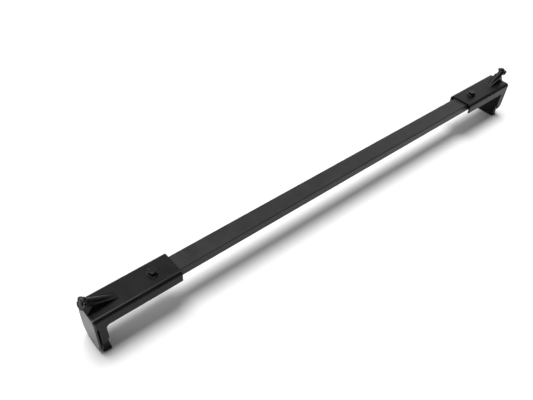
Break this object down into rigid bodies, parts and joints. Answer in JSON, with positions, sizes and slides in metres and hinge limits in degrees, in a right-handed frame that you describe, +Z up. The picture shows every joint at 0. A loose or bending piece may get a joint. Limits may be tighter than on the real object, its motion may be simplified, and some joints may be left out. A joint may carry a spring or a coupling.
{
  "type": "bed cargo bar",
  "caption": "Adjustable cross bar for a pickup bed, with a sliding folded bracket, sloping clamp screw, hand knob and rail jaw at each end.",
  "frame": {"origin": "on the ground under the middle of the bar, where the two jaw feet rest", "axes": "+X along the bar, +Y across it, +Z up"},
  "size_m": [1.598, 0.078, 0.1709],
  "materials": {
    "bar_paint": "fine satin black powder coat",
    "bracket_paint": "semi-gloss black powder coat",
    "jaw_paint": "satin black powder coat",
    "black_hardware": "black zinc plated",
    "screw_steel": "dark oiled steel",
    "zinc_steel": "zinc plated",
    "knob_plastic": "moulded black",
    "plug_plastic": "moulded black",
    "glide_nylon": "moulded black nylon",
    "pad_rubber": "matt black rubber"
  },
  "bodies": {
    "bar": {"cross_tube": "bar_paint", "left_tube_plug": "plug_plastic", "right_tube_plug": "plug_plastic"},
    "left_bracket": {"left_channel": "bracket_paint", "left_end_plate": "bracket_paint", "left_guide_tube": "bracket_paint", "left_guide_saddle": "bracket_paint", "left_guide_ring": "bracket_paint", "left_plate_pad": "pad_rubber", "left_side_glides": "glide_nylon", "left_top_glide": "glide_nylon", "left_nut_plate": "zinc_steel"},
    "left_jaw": {"left_jaw": "jaw_paint", "left_jaw_pad": "pad_rubber", "left_jaw_nut": "jaw_paint"},
    "left_knob": {"left_clamp_screw": "screw_steel", "left_screw_washer": "black_hardware", "left_screw_clip": "screw_steel", "left_knob": "knob_plastic", "left_knob_cap": "knob_plastic"},
    "left_lock_washer": {"left_lock_washer": "black_hardware"},
    "left_lock_bolt": {"left_lock_bolt": "black_hardware"},
    "right_bracket": {"right_channel": "bracket_paint", "right_end_plate": "bracket_paint", "right_guide_tube": "bracket_paint", "right_guide_saddle": "bracket_paint", "right_guide_ring": "bracket_paint", "right_plate_pad": "pad_rubber", "right_side_glides": "glide_nylon", "right_top_glide": "glide_nylon", "right_nut_plate": "zinc_steel"},
    "right_jaw": {"right_jaw": "jaw_paint", "right_jaw_pad": "pad_rubber", "right_jaw_nut": "jaw_paint"},
    "right_knob": {"right_clamp_screw": "screw_steel", "right_screw_washer": "black_hardware", "right_screw_clip": "screw_steel", "right_knob": "knob_plastic", "right_knob_cap": "knob_plastic"},
    "right_lock_washer": {"right_lock_washer": "black_hardware"},
    "right_lock_bolt": {"right_lock_bolt": "black_hardware"}
  },
  "joints": [
    {"name": "left_extend", "type": "slide", "parent": "bar", "child": "left_bracket", "axis": [-1, 0, 0], "range_m": [0, 0.035]},
    {"name": "left_jaw_slide", "type": "slide", "parent": "left_bracket", "child": "left_jaw", "axis": [-0.866, 0, 0.5], "range_m": [-0.015, 0.0018]},
    {"name": "left_knob_turn", "type": "hinge", "parent": "left_bracket", "child": "left_knob", "pos_m": [-0.735, 0, 0.124], "axis": [0.866, 0, -0.5], "range_deg": [-3600, 432]},
    {"name": "left_lock_lift", "type": "slide", "parent": "left_bracket", "child": "left_lock_washer", "axis": [0, 0, 1], "range_m": [0, 0.0035]},
    {"name": "left_lock_turn", "type": "hinge", "parent": "left_lock_washer", "child": "left_lock_bolt", "pos_m": [-0.621, 0, 0.126], "axis": [0, 0, 1], "range_deg": [0, 720]},
    {"name": "right_extend", "type": "slide", "parent": "bar", "child": "right_bracket", "axis": [1, 0, 0], "range_m": [0, 0.035]},
    {"name": "right_jaw_slide", "type": "slide", "parent": "right_bracket", "child": "right_jaw", "axis": [0.866, 0, 0.5], "range_m": [-0.015, 0.0018]},
    {"name": "right_knob_turn", "type": "hinge", "parent": "right_bracket", "child": "right_knob", "pos_m": [0.735, 0, 0.124], "axis": [-0.866, 0, -0.5], "range_deg": [-3600, 432]},
    {"name": "right_lock_lift", "type": "slide", "parent": "right_bracket", "child": "right_lock_washer", "axis": [0, 0, 1], "range_m": [0, 0.0035]},
    {"name": "right_lock_turn", "type": "hinge", "parent": "right_lock_washer", "child": "right_lock_bolt", "pos_m": [0.621, 0, 0.126], "axis": [0, 0, 1], "range_deg": [0, 720]}
  ],
  "couplings": [
    {"joint": "left_knob_turn", "follows": "left_jaw_slide", "rad_per_m": 4188.8},
    {"joint": "left_lock_turn", "follows": "left_lock_lift", "rad_per_m": 3590.4},
    {"joint": "right_knob_turn", "follows": "right_jaw_slide", "rad_per_m": 4188.8},
    {"joint": "right_lock_turn", "follows": "right_lock_lift", "rad_per_m": 3590.4}
  ]
}
